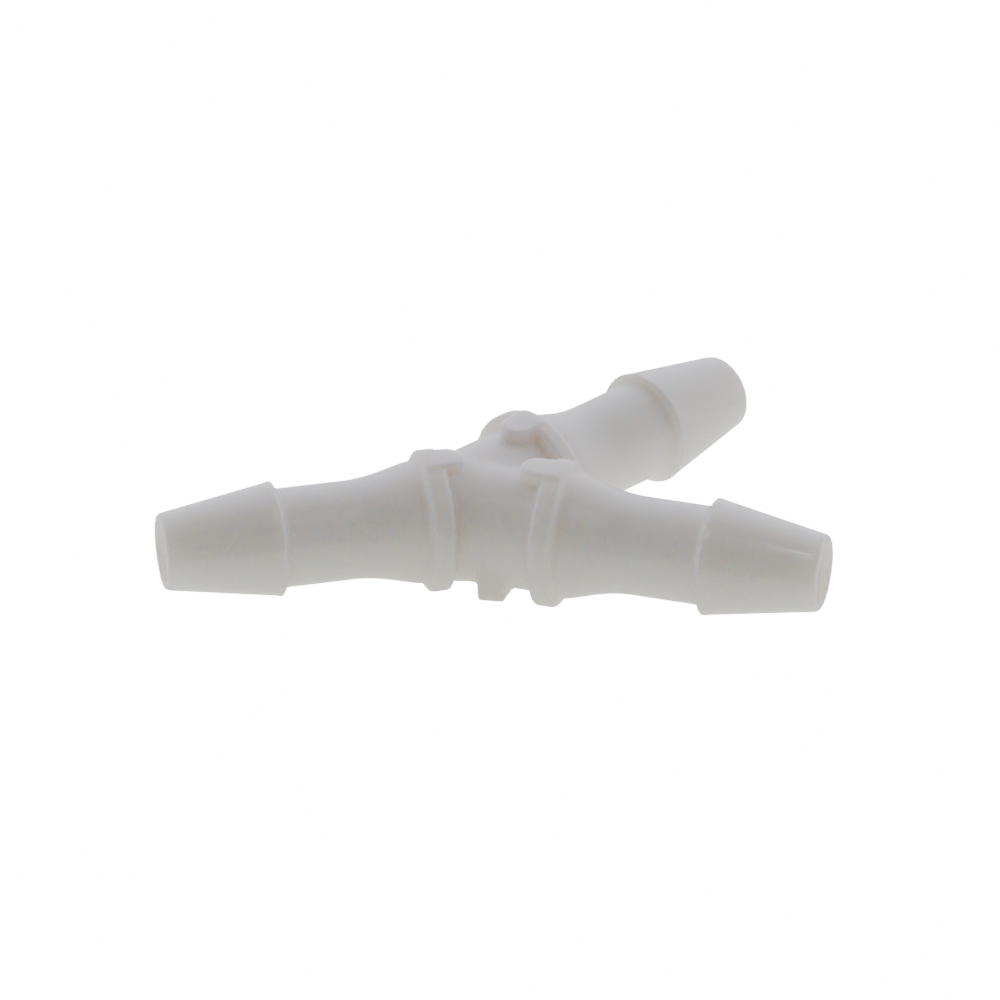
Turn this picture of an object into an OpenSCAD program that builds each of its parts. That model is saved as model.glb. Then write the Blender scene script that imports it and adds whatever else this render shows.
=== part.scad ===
// Y hose barb fitting, moulded in one piece: a stem and two branches, each a barbed spigot for hose.
// Millimetres. The part lies on the XY plane as it rests: the stem points along -X, the branches along +X,
// and the XZ plane is its plane of symmetry.

/* [Layout] */
// Angle between the two branches
branch_angle = 60; // [50:1:80]
// Distance from the junction of the passages to the middle of the stem's collar
stem_collar_at = 2.2; // [1.8:0.1:6]
// Distance from the junction of the passages to the middle of each branch's collar
branch_collar_at = 10.5; // [9:0.1:16]
// Diameter of the hub's tubes
hub_d = 12; // [11:0.1:12.6]
// Diameter of the passages
bore_d = 6; // [4:0.1:6.6]

/* [Barbed spigots] */
// Diameter of a spigot where it leaves its collar
root_d = 12.4; // [11.6:0.1:13]
// Diameter of the straight neck behind the barb
neck_d = 9.8; // [8.6:0.1:10.4]
// Diameter of the barb's crest
crest_d = 11.2; // [10.6:0.1:12]
// Diameter of the spigot's tip
tip_d = 7.7; // [7.2:0.1:9]
// Length over which the root narrows to the neck
flare_len = 7.1; // [5:0.1:14]
// Shape of that narrowing: below 1 it starts sooner and ends more gently
flare_bend = 0.8; // [0.6:0.05:1.2]
// Length of the straight neck
neck_len = 6.4; // [3:0.1:12]
// Length of the step up from the neck to the crest
shoulder_len = 0.8; // [0.4:0.1:1.5]
// Length of the straight land on the crest
land_len = 0.9; // [0.4:0.1:2]
// Length of the barb's cone
cone_len = 10.4; // [7:0.1:16]
// Radius of the tip's outer edge
tip_edge_r = 0.5; // [0.3:0.1:0.8]

/* [Collars] */
// Height of the stem's collar above the root of its spigot
stem_collar_h = 0.85; // [0.6:0.05:1.4]
// Height of the branches' collars above the roots of their spigots
branch_collar_h = 1.1; // [0.6:0.05:1.4]
// Width of a collar's rim
rim_w = 1.6; // [1:0.1:2.4]
// Length of a collar's steep side, which faces the hub
steep_len = 0.4; // [0.2:0.1:0.8]
// Length of a collar's sloped side, which faces the hose
slope_len = 0.8; // [0.4:0.1:2]

/* [Pads and feet] */
// Width of the pad on top of each collar
pad_w = 3.4; // [2.4:0.1:4.4]
// How far a pad reaches past the rim towards the hub
pad_reach = 2.7; // [2:0.1:3]
// How far a pad's flat top stands above the top of its collar
pad_rise = 0.06; // [0.04:0.01:0.3]
// Width of a foot at its outer face
foot_w = 2.4; // [1.5:0.1:4]
// Angle between a foot's middle line and the line midway between the branches
foot_angle = 112; // [100:1:120]
// Distance along the plane of symmetry from the junction to a foot's middle line
foot_at = 4.8; // [3:0.1:6]
// Length of that middle line, from the plane of symmetry to the foot's outer face
foot_out = 5.3; // [4:0.1:6.4]
// Draft of a foot's sides
foot_draft = 10; // [0:1:15]

/* [Hidden] */
$fn = 96;
hub_r = hub_d / 2;
root_r = root_d / 2;
bore_r = bore_d / 2;
neck_r = neck_d / 2;
crest_r = crest_d / 2;
tip_r = tip_d / 2;
stem_collar_r = root_r + stem_collar_h;
branch_collar_r = root_r + branch_collar_h;
half_angle = branch_angle / 2;
// Lengths measured outwards from the middle of a collar
slope_end = rim_w / 2 + slope_len;
neck_start = slope_end + flare_len;
neck_end = neck_start + neck_len;
crest_start = neck_end + shoulder_len;
cone_start = crest_start + land_len;
spigot_len = cone_start + cone_len;
stem_reach = stem_collar_at + spigot_len;
branch_reach = branch_collar_at + spigot_len;
rest_z = max(stem_collar_r, branch_collar_r);
overrun = 1;
// A pad starts inside the hub's wall and ends a little way inside the outer edge of its collar's rim
pad_root = (hub_r + bore_r) / 2;
pad_margin = 0.2;
// The passages meet in a round chamber a little wider than they are
chamber_r = bore_r + 0.15;
// The part is centred on the box around it
stem_end = -stem_reach;
branch_end = max([for (p = leg_outline(branch_collar_at, branch_collar_r))
    p.y * cos(half_angle) + p.x * sin(half_angle)]);
middle_x = (stem_end + branch_end) / 2;

// Points of a smooth step between two points [radius, distance], without the first
function s_curve(from, to, steps, bend = 1) =
    [for (i = [1:steps]) let (t = i / steps)
        [from.x + (to.x - from.x) * (1 - cos(180 * pow(t, bend))) / 2, from.y + (to.y - from.y) * t]];

// Points of the rounded outer edge at the tip, where the cone turns into the flat end
function tip_edge(reach, steps) =
    let (lean = atan((crest_r - tip_r) / cone_len))
    [for (i = [0:steps]) let (a = lean + (90 - lean) * i / steps)
        [tip_r - tip_edge_r + tip_edge_r * cos(a), reach - tip_edge_r + tip_edge_r * sin(a)]];

// Outline of a whole leg as [radius, distance from the junction]
function leg_outline(collar_at, collar_r) = concat(
    [[0, 0], [hub_r, 0], [hub_r, collar_at - rim_w / 2 - steep_len]],
    s_curve([hub_r, collar_at - rim_w / 2 - steep_len], [collar_r, collar_at - rim_w / 2], 4),
    [[collar_r, collar_at + rim_w / 2]],
    s_curve([collar_r, collar_at + rim_w / 2], [root_r, collar_at + slope_end], 6),
    s_curve([root_r, collar_at + slope_end], [neck_r, collar_at + neck_start], 10, flare_bend),
    [[neck_r, collar_at + neck_end]],
    s_curve([neck_r, collar_at + neck_end], [crest_r, collar_at + crest_start], 4),
    [[crest_r, collar_at + cone_start]],
    tip_edge(collar_at + spigot_len, 4),
    [[0, collar_at + spigot_len]]);

// Turns what lies along +Z to point outwards at an angle in the plane of the fitting
module outwards(angle) {
    rotate([0, 0, angle]) rotate([0, 90, 0]) children();
}

module leg(angle, collar_at, collar_r) {
    outwards(angle) rotate_extrude() polygon(leg_outline(collar_at, collar_r));
}

// A flat-topped pad with a round end, over a collar's rim and in over the hub's tube
module pad(angle, collar_at, collar_r) {
    round_at = collar_at - rim_w / 2 - pad_reach + pad_w / 2;
    outer_end = collar_at + rim_w / 2 - pad_margin;
    rotate([0, 0, angle])
        translate([0, 0, pad_root])
            linear_extrude(height = collar_r + pad_rise - pad_root) {
                translate([round_at, 0]) circle(d = pad_w);
                translate([round_at, -pad_w / 2]) square([outer_end - round_at, pad_w]);
            }
}

module passage(angle, reach) {
    outwards(angle) cylinder(h = reach + overrun, r = bore_r);
}

// A drafted foot in the wide gap between the stem and a branch
module foot(side) {
    inner_w = foot_w + 2 * foot_out * tan(foot_draft);
    translate([0, 0, -rest_z])
        linear_extrude(height = rest_z)
            translate([foot_at, 0])
                rotate([0, 0, side * foot_angle])
                    polygon([[0, -inner_w / 2], [foot_out, -foot_w / 2], [foot_out, foot_w / 2], [0, inner_w / 2]]);
}

module fitting() {
    color([0.93, 0.93, 0.9])
    translate([-middle_x, 0, rest_z])
        difference() {
            union() {
                union() {
                    leg(180, stem_collar_at, stem_collar_r);
                    for (side = [-1, 1]) leg(side * half_angle, branch_collar_at, branch_collar_r);
                }
                pad(180, stem_collar_at, stem_collar_r);
                for (side = [-1, 1]) {
                    pad(side * half_angle, branch_collar_at, branch_collar_r);
                    foot(side);
                }
            }
            sphere(r = chamber_r);
            passage(180, stem_reach);
            for (side = [-1, 1]) passage(side * half_angle, branch_reach);
        }
}

fitting();
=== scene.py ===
"""Y hose barb fitting in off-white moulded plastic, on a pale floor under soft studio light."""
import math

import bpy
import numpy as np
from mathutils import Matrix, Vector


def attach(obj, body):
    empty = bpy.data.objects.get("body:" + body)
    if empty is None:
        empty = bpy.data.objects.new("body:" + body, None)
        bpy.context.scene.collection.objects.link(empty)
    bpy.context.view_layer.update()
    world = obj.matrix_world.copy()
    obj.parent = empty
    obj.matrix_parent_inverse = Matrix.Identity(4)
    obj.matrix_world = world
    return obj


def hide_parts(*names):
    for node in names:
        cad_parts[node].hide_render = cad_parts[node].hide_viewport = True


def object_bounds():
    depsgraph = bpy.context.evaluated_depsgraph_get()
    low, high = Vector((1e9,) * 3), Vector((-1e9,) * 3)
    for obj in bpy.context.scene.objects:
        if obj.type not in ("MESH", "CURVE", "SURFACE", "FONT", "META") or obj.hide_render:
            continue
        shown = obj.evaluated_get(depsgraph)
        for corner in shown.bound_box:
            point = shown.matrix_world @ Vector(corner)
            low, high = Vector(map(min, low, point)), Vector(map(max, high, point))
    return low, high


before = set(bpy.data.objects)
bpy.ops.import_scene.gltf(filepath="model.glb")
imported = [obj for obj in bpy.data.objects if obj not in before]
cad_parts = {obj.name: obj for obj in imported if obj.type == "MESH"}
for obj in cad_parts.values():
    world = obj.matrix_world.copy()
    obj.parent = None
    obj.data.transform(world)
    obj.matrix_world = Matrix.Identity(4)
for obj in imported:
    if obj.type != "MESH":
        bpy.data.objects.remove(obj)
cad_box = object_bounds()

# The fitting's sizes, in millimetres. Some were fitted closer to the photograph than the CAD's, and the lip
# of the crest and the block above each foot are in the look alone
MM = 0.001
HALF_ANGLE = 30
STEM_COLLAR_AT, BRANCH_COLLAR_AT = 2.2, 10.5
HUB_R, STEM_ROOT_R, BRANCH_ROOT_R, BORE_R = 6.0, 6.1, 6.3, 3.0
NECK_R, STEM_CREST_R, BRANCH_CREST_R, TIP_R, TIP_EDGE_R = 4.9, 5.6, 5.72, 3.85, 0.5
RIM_W, STEEP_LEN, SLOPE_LEN, FLARE_LEN, FLARE_BEND = 1.6, 0.4, 0.8, 7.1, 0.72
NECK_LEN, SHOULDER_LEN, SHOULDER_BEND = 6.4, 0.65, 1.8
LIP_LEN, LIP_H, CONE_LEN = 0.5, 0.15, 10.95
STEM_COLLAR_R, BRANCH_COLLAR_R = 7.05, 7.3
PAD_W, STEM_PAD_REACH, BRANCH_PAD_REACH, PAD_RISE, PAD_MARGIN = 3.4, 2.3, 2.8, 0.06, 0.1
FOOT_W, FOOT_ANGLE, FOOT_AT, FOOT_OUT, FOOT_DRAFT = 2.1, 112, 5.05, 4.4, 10
BLOCK_W, BLOCK_OUT, BLOCK_DEEP = 2.6, 8.33, 5.5
REST_Z, CHAMBER_R = 7.3, 3.15
# How far a leg's tube runs on behind the junction, inside the other legs
BEHIND = 2
# Where the crest and the tip of a leg are, from the middle of its collar
CREST_AT = RIM_W / 2 + SLOPE_LEN + FLARE_LEN + NECK_LEN + SHOULDER_LEN
TIP_AT = CREST_AT + LIP_LEN + CONE_LEN
BODY = "root"
# Where the passages meet, in metres: the stem's tip is at the end of the CAD box
JUNCTION = Vector((cad_box[0][0] + (STEM_COLLAR_AT + TIP_AT) * MM, 0, REST_Z * MM))

# How the moulding's edges and creases are rounded, in millimetres
PROFILE_SOFT = 0.11
LEG_BLEND, PAD_BLEND, FOOT_BLEND, PIECE_EDGE, FOOT_EDGE, MOUTH_EDGE = 0.4, 0.45, 0.25, 0.45, 0.3, 0.45
# The grid that the mesh is made on, its margin in steps, and the rounds that pull the mesh onto the surface
MESH_STEP, MARGIN_STEPS, SNAP_ROUNDS = 0.36, 2.5, 4
# The least squared slope that a pull onto the surface is divided by
LEAST_STEEPNESS = 0.25
# A face this near a passage's wall is part of it
PASSAGE_SKIN = 0.05

# Material slots of the moulding: its satin skin, the passages with painted light, and the glossier cones of
# the barbs
SKIN, PASSAGE, CONE = 0, 1, 2
PLASTIC_TINTS = (0.886, 0.853, 0.82, 1), (0.926, 0.893, 0.867, 1)
# The passages' tints are lighter and greener than the skin's: painted light that lifts the shade inside the
# bores
PASSAGE_PAINTED_LIGHT_TINTS = (0.96, 0.96, 0.9, 1), (0.98, 0.98, 0.93, 1)
CONE_GLOSS = 0.35
# The painted glow of the passages' walls, in place of the light that seeps through the plastic: its tint and
# strength
PAINTED_GLOW_TINT, PASSAGE_PAINTED_GLOW = (0.97, 1, 0.82, 1), 0.05

# The floor: its size in metres, its brightness to the camera, and the light that it gives the fitting
FLOOR_SIZE, FLOOR_GLOW, FLOOR_BOUNCE = 12, 16.0, 0.57
FLOOR_TINT, FLOOR_LIGHT_TINT = (0.93, 0.93, 0.89, 1), (0.97, 1, 0.88, 1)

# The surround's strength, the direction in which it is dim, and its colours, which run from 0 on the side
# away from there to 1 in that direction
SURROUND = 1.12
DIM_SIDE = (-0.2, -0.84, 0.5)
SURROUND_COLORS = ((0.0, (1.56, 1.58, 1.93)), (0.38, (1.44, 1.46, 1.72)), (0.6, (0.97, 0.97, 1.04)),
                   (0.74, (0.2, 0.175, 0.15)), (0.85, (0.09, 0.072, 0.06)), (1.0, (0.09, 0.075, 0.065)))

# The small lamps for thin glints on the near cones: their size and places in metres, and their power in watts
LAMP_SIZE = 0.004
LAMPS = (((-0.0634, -0.0258, 0.165), 0.006), ((0.0301, -0.0581, 0.1664), 0.0065),
         ((0.0215, -0.0817, 0.1576), 0.006))

# The camera, as the photograph has it: its direction from the junction of the legs, and where that shows
CAMERA_AZIMUTH = 13.42
CAMERA_ELEVATION = 30.02
CAMERA_ROLL = 0.077
CAMERA_DISTANCE = 0.57
FRAME_WIDTH = 1000
FOCAL_PIXELS = 5774.2
JUNCTION_PIXEL = (453.7, 517.5)
SENSOR_MM = 36.0


def make_camera():
    """Looks at the fitting as the photograph does."""
    azimuth, elevation, roll = (math.radians(a) for a in (CAMERA_AZIMUTH, CAMERA_ELEVATION, CAMERA_ROLL))
    back = Vector((-math.sin(azimuth) * math.cos(elevation), -math.cos(azimuth) * math.cos(elevation),
                   math.sin(elevation)))
    level = Vector((math.cos(azimuth), -math.sin(azimuth), 0))
    upright = back.cross(level)
    right = math.cos(roll) * level + math.sin(roll) * upright
    up = back.cross(right)
    metres_per_pixel = CAMERA_DISTANCE / FOCAL_PIXELS
    aside = (FRAME_WIDTH / 2 - JUNCTION_PIXEL[0]) * metres_per_pixel
    above = (JUNCTION_PIXEL[1] - FRAME_WIDTH / 2) * metres_per_pixel
    place = JUNCTION + back * CAMERA_DISTANCE + right * aside + up * above
    camera = bpy.data.objects.new("camera", bpy.data.cameras.new("camera"))
    turn = Matrix((right, up, back)).transposed().to_4x4()
    camera.matrix_world = Matrix.Translation(place) @ turn
    camera.data.sensor_width = SENSOR_MM
    camera.data.lens = FOCAL_PIXELS * SENSOR_MM / FRAME_WIDTH
    camera.data.clip_start = 0.01
    camera.data.clip_end = 20
    bpy.context.scene.collection.objects.link(camera)
    bpy.context.scene.camera = camera


def s_curve(start, end, steps, bend=1.0):
    """Points (distance, radius) of a smooth step, without the first."""
    t = np.arange(1, steps + 1) / steps
    return np.stack([start[0] + (end[0] - start[0]) * t,
                     start[1] + (end[1] - start[1]) * (1 - np.cos(np.pi * t ** bend)) / 2], -1)


def leg_profile(collar_at, collar_r, root_r, crest_r):
    """Outer profile of a leg as (distance from the junction, radius), from behind the junction to the tip."""
    rim_in, rim_out = collar_at - RIM_W / 2, collar_at + RIM_W / 2
    root = rim_out + SLOPE_LEN
    neck = root + FLARE_LEN
    neck_end = neck + NECK_LEN
    crest, tip = collar_at + CREST_AT, collar_at + TIP_AT
    lean = math.atan((crest_r - TIP_R) / CONE_LEN)
    edge = np.linspace(lean, math.pi / 2, 7)
    return np.concatenate([
        [[-BEHIND, HUB_R], [rim_in - STEEP_LEN, HUB_R]],
        s_curve((rim_in - STEEP_LEN, HUB_R), (rim_in, collar_r), 8), [[rim_out, collar_r]],
        s_curve((rim_out, collar_r), (root, root_r), 10),
        s_curve((root, root_r), (neck, NECK_R), 24, FLARE_BEND), [[neck_end, NECK_R]],
        s_curve((neck_end, NECK_R), (crest, crest_r + LIP_H), 16, SHOULDER_BEND),
        [[crest + LIP_LEN, crest_r]],
        np.stack([tip + TIP_EDGE_R * (np.sin(edge) - 1), TIP_R + TIP_EDGE_R * (np.cos(edge) - 1)], -1),
        [[tip, 0]]])


class Profile:
    """A softened table of the signed distance to a leg's profile. It reaches past the profile all round."""
    STEP = 0.05
    BACK, PAST, WIDE = 4, 3, 10

    def __init__(self, points):
        s = np.arange(-self.BACK, points[-1, 0] + self.PAST, self.STEP)
        r = np.arange(0, self.WIDE, self.STEP)
        grid_s, grid_r = np.meshgrid(s, r, indexing="ij")
        best = np.full(grid_s.shape, 1e9)
        outline = np.concatenate([[[points[0, 0], 0]], points])
        for a, b in zip(outline[:-1], outline[1:]):
            along = b - a
            t = ((grid_s - a[0]) * along[0] + (grid_r - a[1]) * along[1]) / max(along @ along, 1e-12)
            t = np.clip(t, 0, 1)
            best = np.minimum(best, np.hypot(grid_s - a[0] - t * along[0], grid_r - a[1] - t * along[1]))
        inside = (grid_s > points[0, 0]) & (grid_s < points[-1, 0])
        inside &= grid_r < np.interp(grid_s, points[:-1, 0], points[:-1, 1])
        table = np.where(inside, -best, best)
        reach = int(3 * PROFILE_SOFT / self.STEP)
        kernel = np.exp(-0.5 * (np.arange(-reach, reach + 1) * self.STEP / PROFILE_SOFT) ** 2)
        kernel /= kernel.sum()
        for axis in (0, 1):
            padding = [(reach, reach) if axis == i else (0, 0) for i in (0, 1)]
            padded = np.pad(table, padding, mode="reflect")
            size = table.shape[axis]
            table = sum(k * np.take(padded, np.arange(i, i + size), axis) for i, k in enumerate(kernel))
        self.table = table

    def __call__(self, s, r):
        u = np.clip((s + self.BACK) / self.STEP, 0, self.table.shape[0] - 1.001)
        v = np.clip(r / self.STEP, 0, self.table.shape[1] - 1.001)
        i, j = u.astype(int), v.astype(int)
        u, v = u - i, v - j
        t = self.table
        return ((t[i, j] * (1 - u) + t[i + 1, j] * u) * (1 - v)
                + (t[i, j + 1] * (1 - u) + t[i + 1, j + 1] * u) * v)


def blend(a, b, width):
    """Union of two distances with a fillet in the crease."""
    h = np.maximum(width - np.abs(a - b), 0) / width
    return np.minimum(a, b) - h * h * width / 4


def cut(a, b, width):
    """Intersection of two distances with a rounded edge."""
    return -blend(-a, -b, width)


def leg_frame(p, angle):
    """Distance of points along a leg, and aside of it in its plane."""
    c, s = math.cos(math.radians(angle)), math.sin(math.radians(angle))
    return p[:, 0] * c + p[:, 1] * s, p[:, 1] * c - p[:, 0] * s


def pad_distance(along, aside, z, collar_at, collar_r, pad_reach):
    """A flat-topped pad with a round end towards the hub."""
    round_at = collar_at - RIM_W / 2 - pad_reach + PAD_W / 2
    slot = np.hypot(np.minimum(along - round_at, 0), aside) - PAD_W / 2
    plan = cut(slot, along - (collar_at + RIM_W / 2 - PAD_MARGIN), PIECE_EDGE)
    upper = cut(plan, z - collar_r - PAD_RISE, PIECE_EDGE)
    return np.maximum(upper, (HUB_R + BORE_R) / 2 - z)


def foot_distance(p, side):
    """A drafted foot in the wide gap beside the stem, with a block above it that meets the hub's side."""
    along, aside = leg_frame(p - np.array([FOOT_AT, 0, 0]), side * FOOT_ANGLE)
    draft = math.radians(FOOT_DRAFT)
    pieces = []
    for width, out, deep in ((FOOT_W, FOOT_OUT, REST_Z), (BLOCK_W, BLOCK_OUT, BLOCK_DEEP)):
        half = width / 2 + (out - along) * math.tan(draft)
        plan = cut((np.abs(aside) - half) * math.cos(draft), along - out, FOOT_EDGE)
        pieces.append(cut(plan, -deep - p[:, 2], FOOT_EDGE))
    return np.maximum(np.minimum(*pieces), np.maximum(p[:, 2], -along))


STEM = (STEM_COLLAR_AT, STEM_COLLAR_R)
BRANCH = (BRANCH_COLLAR_AT, BRANCH_COLLAR_R)
STEM_PROFILE = Profile(leg_profile(*STEM, STEM_ROOT_R, STEM_CREST_R))
BRANCH_PROFILE = Profile(leg_profile(*BRANCH, BRANCH_ROOT_R, BRANCH_CREST_R))
LEGS = ((180, *STEM, STEM_PAD_REACH, STEM_PROFILE),
        (HALF_ANGLE, *BRANCH, BRANCH_PAD_REACH, BRANCH_PROFILE),
        (-HALF_ANGLE, *BRANCH, BRANCH_PAD_REACH, BRANCH_PROFILE))


def passage_distance(p):
    """Signed distance to the passages, which meet in a round chamber."""
    passages = np.linalg.norm(p, axis=1) - CHAMBER_R
    for angle, *_ in LEGS:
        along, aside = leg_frame(p, angle)
        passages = blend(passages, np.maximum(np.hypot(aside, p[:, 2]) - BORE_R, -along), MOUTH_EDGE)
    return passages


def fitting_distance(p):
    """Signed distance of points, in millimetres from the junction, to the moulding's surface."""
    body = pads = None
    for angle, collar_at, collar_r, pad_reach, profile in LEGS:
        along, aside = leg_frame(p, angle)
        radius = np.hypot(aside, p[:, 2])
        leg = profile(along, radius)
        pad = pad_distance(along, aside, p[:, 2], collar_at, collar_r, pad_reach)
        body = leg if body is None else blend(body, leg, LEG_BLEND)
        pads = pad if pads is None else np.minimum(pads, pad)
    solid = blend(body, pads, PAD_BLEND)
    solid = blend(solid, np.minimum(foot_distance(p, -1), foot_distance(p, 1)), FOOT_BLEND)
    return cut(solid, -passage_distance(p), MOUTH_EDGE)


def slopes(p, reach=0.06):
    """Gradient of the distance."""
    result = np.empty_like(p)
    for axis in range(3):
        shift = np.zeros(3)
        shift[axis] = reach
        result[:, axis] = (fitting_distance(p + shift) - fitting_distance(p - shift)) / (2 * reach)
    return result


def surface_net(values, low, step):
    """Vertices and quads of the zero surface of a grid of values."""
    inside = values < 0
    cells = np.array(values.shape) - 1
    strides = np.array([cells[1] * cells[2], cells[2], 1])
    total = int(cells.prod())
    count, sums, faces = np.zeros(total), np.zeros((total, 3)), []
    for axis in range(3):
        first = [slice(None)] * 3
        second = [slice(None)] * 3
        first[axis], second[axis] = slice(0, -1), slice(1, None)
        a, b = values[tuple(first)], values[tuple(second)]
        crossing = inside[tuple(first)] != inside[tuple(second)]
        index = np.argwhere(crossing)
        start = a[crossing]
        place = index.astype(float)
        place[:, axis] += start / (start - b[crossing])
        one, two = (axis + 1) % 3, (axis + 2) % 3
        around = []
        for d_one, d_two in ((-1, -1), (0, -1), (0, 0), (-1, 0)):
            cell = index.copy()
            cell[:, one] += d_one
            cell[:, two] += d_two
            flat = cell @ strides
            around.append(flat)
            count += np.bincount(flat, minlength=total)
            for k in range(3):
                sums[:, k] += np.bincount(flat, place[:, k], minlength=total)
        quad = np.stack(around, -1)
        backward = start > 0
        quad[backward] = quad[backward][:, ::-1]
        faces.append(quad)
    used = np.flatnonzero(count)
    number = np.full(total, -1)
    number[used] = np.arange(len(used))
    return low + step * sums[used] / count[used, None], number[np.concatenate(faces)]


def fitting_mesh():
    """The whole moulding as one closed mesh with soft edges and filleted creases."""
    corners = np.array(cad_box) / MM - np.array(JUNCTION) / MM
    low = corners.min(0) - MARGIN_STEPS * MESH_STEP
    counts = np.ceil((corners.max(0) + MARGIN_STEPS * MESH_STEP - low) / MESH_STEP).astype(int)
    axes = [low[k] + MESH_STEP * np.arange(counts[k]) for k in range(3)]
    values = np.empty(counts)
    for i, x in enumerate(axes[0]):
        y, z = np.meshgrid(axes[1], axes[2], indexing="ij")
        points = np.stack([np.full(y.size, x), y.ravel(), z.ravel()], -1)
        values[i] = fitting_distance(points).reshape(y.shape)
    points, quads = surface_net(values, low, MESH_STEP)
    for _ in range(SNAP_ROUNDS):
        slope = slopes(points)
        steepness = np.maximum((slope ** 2).sum(1), LEAST_STEEPNESS)
        move = -(fitting_distance(points) / steepness)[:, None] * slope
        points += np.clip(move, -MESH_STEP / 2, MESH_STEP / 2)
    normals = slopes(points)
    normals /= np.maximum(np.linalg.norm(normals, axis=1), 1e-9)[:, None]
    mesh = bpy.data.meshes.new("fitting_moulding")
    mesh.from_pydata((points * MM + np.array(JUNCTION)).tolist(), [], quads.tolist())
    mesh.polygons.foreach_set("use_smooth", [True] * len(mesh.polygons))
    middles = points[quads].mean(1)
    kind = np.full(len(middles), SKIN)
    for angle, collar_at, *_ in LEGS:
        kind[leg_frame(middles, angle)[0] > collar_at + CREST_AT] = CONE
    # Faces on the passages' walls take the material with the painted lighter tint and the painted glow
    kind[np.abs(passage_distance(middles)) < PASSAGE_SKIN] = PASSAGE
    mesh.polygons.foreach_set("material_index", kind)
    mesh.normals_split_custom_set_from_vertices(normals.tolist())
    return mesh


def principled(name):
    """A new material and its main shader."""
    material = bpy.data.materials.new(name)
    material.use_nodes = True
    return material, material.node_tree.nodes["Principled BSDF"]


def plastic_material(name, tints, gloss=0.0, painted_glow=0.0):
    """Satin off-white plastic that lets a little light in, its colour wandering between two tints, with an
    optional painted glow.
    """
    material, shader = principled(name)
    nodes, links = material.node_tree.nodes, material.node_tree.links
    shader.inputs["Subsurface Weight"].default_value = 1.0
    shader.inputs["Subsurface Radius"].default_value = (1.25, 0.85, 0.5)
    shader.inputs["Subsurface Scale"].default_value = 0.0024
    shader.inputs["IOR"].default_value = 1.5
    shader.inputs["Coat Weight"].default_value = gloss
    # The emission is a painted glow, not a lamp: zero on the skin and cones, faint on the passages
    shader.inputs["Emission Color"].default_value = PAINTED_GLOW_TINT
    shader.inputs["Emission Strength"].default_value = painted_glow
    shader.inputs["Coat Roughness"].default_value = 0.11
    coordinates = nodes.new("ShaderNodeTexCoord")
    clouds = nodes.new("ShaderNodeTexNoise")
    clouds.inputs["Scale"].default_value = 90
    clouds.inputs["Detail"].default_value = 2
    tint = nodes.new("ShaderNodeValToRGB")
    tint.color_ramp.interpolation = "EASE"
    for stop, position, color in zip(tint.color_ramp.elements, (0.15, 0.85), tints):
        stop.position, stop.color = position, color
    links.new(coordinates.outputs["Object"], clouds.inputs["Vector"])
    links.new(clouds.outputs["Fac"], tint.inputs["Fac"])
    links.new(tint.outputs["Color"], shader.inputs["Base Color"])
    satin = nodes.new("ShaderNodeMapRange")
    satin.inputs["To Min"].default_value = 0.27
    satin.inputs["To Max"].default_value = 0.31
    links.new(clouds.outputs["Fac"], satin.inputs["Value"])
    links.new(satin.outputs["Result"], shader.inputs["Roughness"])
    grain = nodes.new("ShaderNodeTexNoise")
    grain.inputs["Scale"].default_value = 2600
    grain.inputs["Detail"].default_value = 2
    bump = nodes.new("ShaderNodeBump")
    bump.inputs["Strength"].default_value = 0.2
    bump.inputs["Distance"].default_value = 0.00004
    links.new(coordinates.outputs["Object"], grain.inputs["Vector"])
    links.new(grain.outputs["Fac"], bump.inputs["Height"])
    links.new(bump.outputs["Normal"], shader.inputs["Normal"])
    return material


def make_floor():
    """A pale floor that runs far out of view, and shows as white as an overexposed studio sweep."""
    bpy.ops.mesh.primitive_plane_add(size=FLOOR_SIZE)
    floor = bpy.context.object
    floor.name = "floor"
    material, shader = principled("pale_floor")
    nodes, links = material.node_tree.nodes, material.node_tree.links
    shader.inputs["Base Color"].default_value = FLOOR_TINT
    shader.inputs["Roughness"].default_value = 0.9
    shader.inputs["Emission Color"].default_value = FLOOR_LIGHT_TINT
    shader.inputs["Emission Strength"].default_value = FLOOR_BOUNCE
    glow = nodes.new("ShaderNodeEmission")
    glow.inputs["Strength"].default_value = FLOOR_GLOW
    path = nodes.new("ShaderNodeLightPath")
    mix = nodes.new("ShaderNodeMixShader")
    links.new(path.outputs["Is Camera Ray"], mix.inputs["Fac"])
    links.new(shader.outputs["BSDF"], mix.inputs[1])
    links.new(glow.outputs["Emission"], mix.inputs[2])
    links.new(mix.outputs["Shader"], nodes["Material Output"].inputs["Surface"])
    floor.data.materials.append(material)


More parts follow.
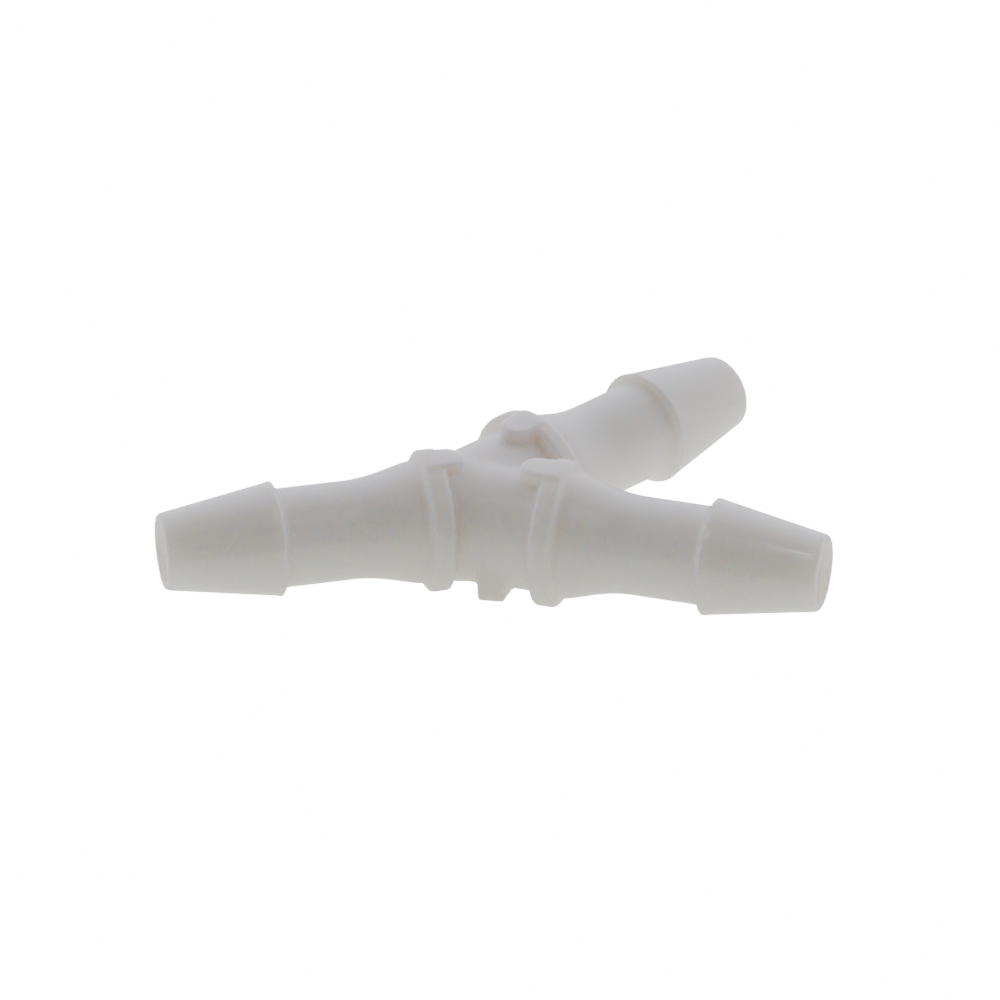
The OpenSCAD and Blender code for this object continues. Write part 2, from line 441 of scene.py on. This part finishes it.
def small_lamp(name, place, power):
    """A small square light aimed at the junction."""
    lamp = bpy.data.objects.new(name, bpy.data.lights.new(name, "AREA"))
    lamp.data.shape = "SQUARE"
    lamp.data.size = LAMP_SIZE
    lamp.data.energy = power
    lamp.location = place
    lamp.rotation_mode = "QUATERNION"
    lamp.rotation_quaternion = (JUNCTION - Vector(place)).to_track_quat("-Z", "Y")
    bpy.context.scene.collection.objects.link(lamp)


def make_lights():
    """A surround that is bright above and behind and dim on the camera's side, and the small lamps."""
    world = bpy.data.worlds.new("studio")
    bpy.context.scene.world = world
    world.use_nodes = True
    nodes, links = world.node_tree.nodes, world.node_tree.links
    coordinates = nodes.new("ShaderNodeTexCoord")
    facing = nodes.new("ShaderNodeVectorMath")
    facing.operation = "DOT_PRODUCT"
    facing.inputs[1].default_value = Vector(DIM_SIDE).normalized()
    spread = nodes.new("ShaderNodeMapRange")
    spread.inputs["From Min"].default_value = -1
    ramp = nodes.new("ShaderNodeValToRGB")
    stops = ramp.color_ramp.elements
    first, *between, last = SURROUND_COLORS
    for stop, (position, color) in zip(stops, (first, last)):
        stop.position, stop.color = position, (*color, 1)
    for position, color in between:
        stops.new(position).color = (*color, 1)
    links.new(coordinates.outputs["Generated"], facing.inputs[0])
    links.new(facing.outputs["Value"], spread.inputs["Value"])
    links.new(spread.outputs["Result"], ramp.inputs["Fac"])
    links.new(ramp.outputs["Color"], nodes["Background"].inputs["Color"])
    nodes["Background"].inputs["Strength"].default_value = SURROUND
    for number, (place, power) in enumerate(LAMPS):
        small_lamp("lamp_%d" % number, place, power)


make_camera()
make_lights()
make_floor()
moulding = bpy.data.objects.new("moulding", fitting_mesh())
bpy.context.scene.collection.objects.link(moulding)
moulding.data.materials.append(plastic_material("moulded_plastic", PLASTIC_TINTS))
# The passages' material carries painted light: a lighter tint and a painted glow against the shade in the
# bores
moulding.data.materials.append(plastic_material("passage_plastic_painted_light", PASSAGE_PAINTED_LIGHT_TINTS, painted_glow=PASSAGE_PAINTED_GLOW))
moulding.data.materials.append(plastic_material("cone_plastic", PLASTIC_TINTS, gloss=CONE_GLOSS))
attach(moulding, BODY)
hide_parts("fitting")
